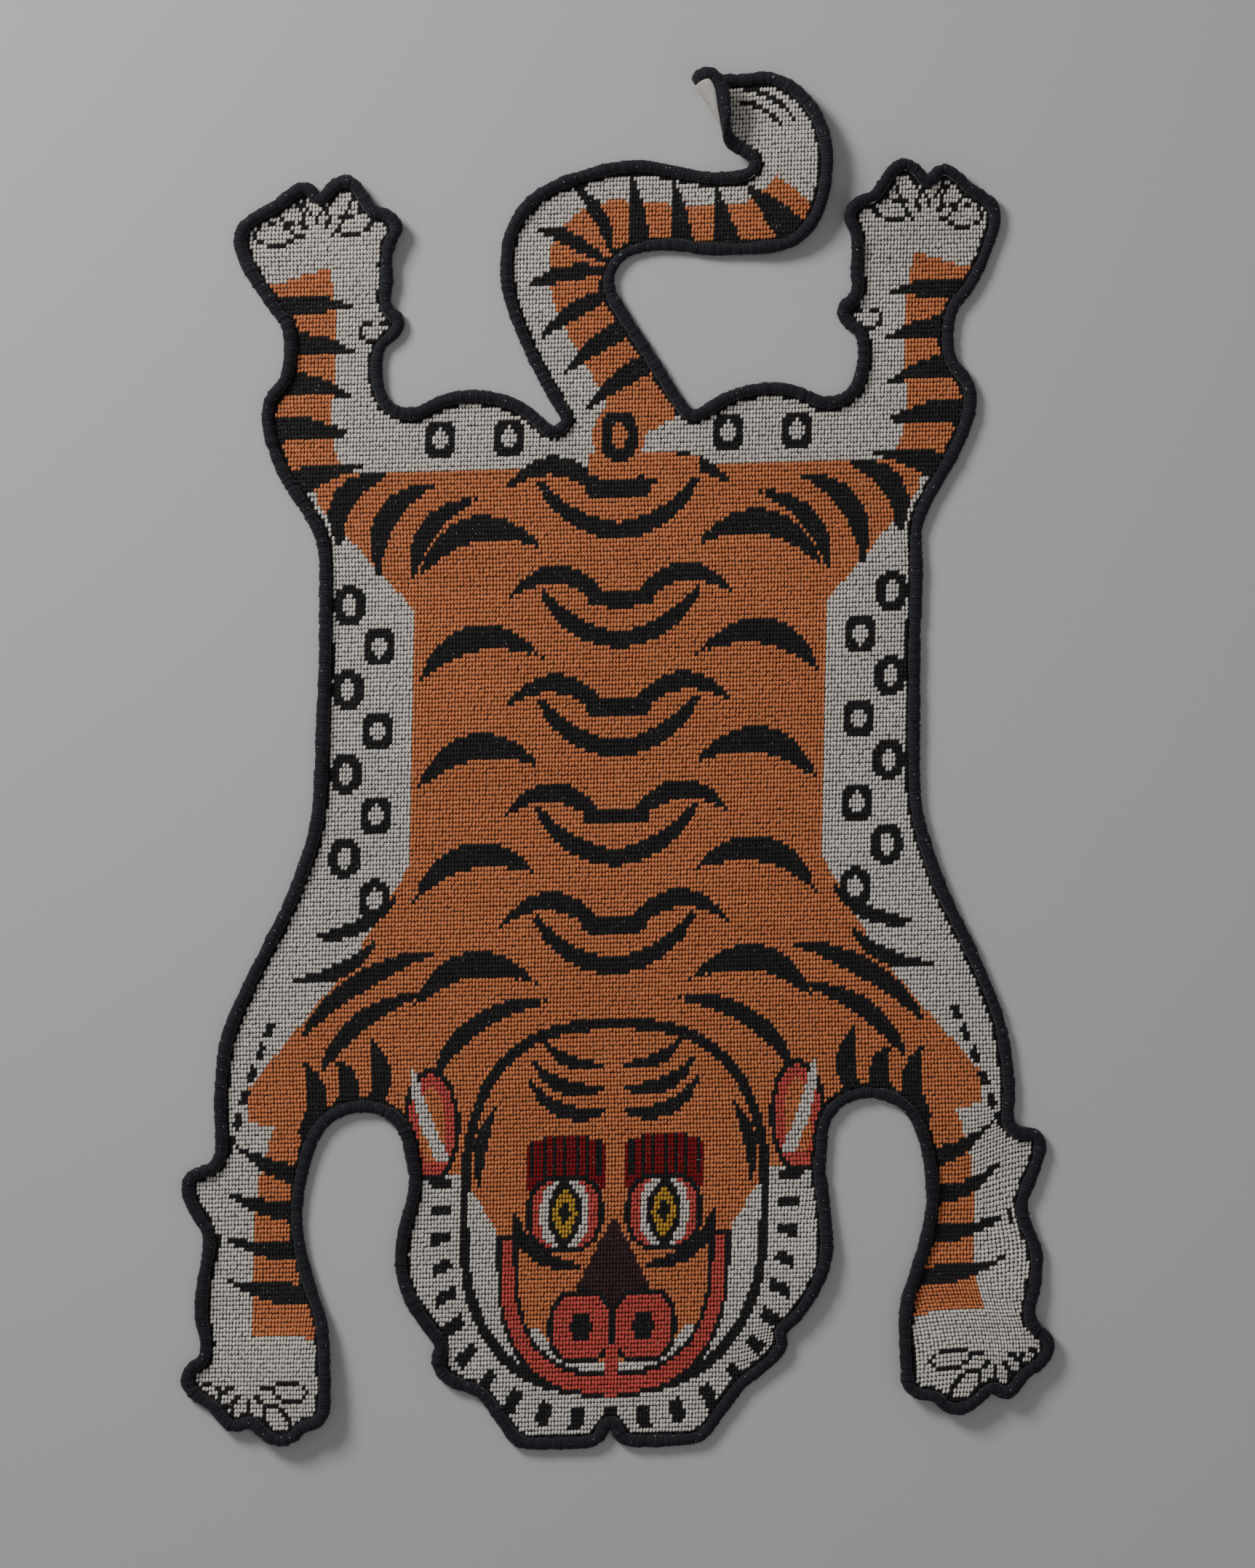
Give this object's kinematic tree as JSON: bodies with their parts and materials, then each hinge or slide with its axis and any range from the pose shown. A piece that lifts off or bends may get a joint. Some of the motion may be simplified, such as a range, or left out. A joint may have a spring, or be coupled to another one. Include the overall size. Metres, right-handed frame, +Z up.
{
  "type": "wool rug",
  "caption": "Flat wool rug cut in the outline of a spread tiger pelt, its needlepoint field edged all round by a whipped cord of dark yarn.",
  "frame": {"origin": "middle of the bounding box, on the floor under the rug", "axes": "+X to the rug's right as seen from above with the head towards the viewer, +Y from head to tail, +Z up from the floor"},
  "size_m": [0.9492, 1.4998, 0.0416],
  "materials": {
    "wool_field": "close upright wool stitches over pale canvas, matt; orange ground with black, cream, coral, dark red, mustard and brown areas",
    "wool_binding": "matt near-black wool yarn wrapped closely round the edge"
  },
  "bodies": {
    "root": {"rug_field": "wool_field", "binding_head": "wool_binding", "binding_right_foreleg": "wool_binding", "binding_right_flank": "wool_binding", "binding_right_hind_leg": "wool_binding", "binding_tail": "wool_binding", "binding_left_hind_leg": "wool_binding", "binding_left_flank": "wool_binding", "binding_left_foreleg": "wool_binding"}
  },
  "joints": []
}
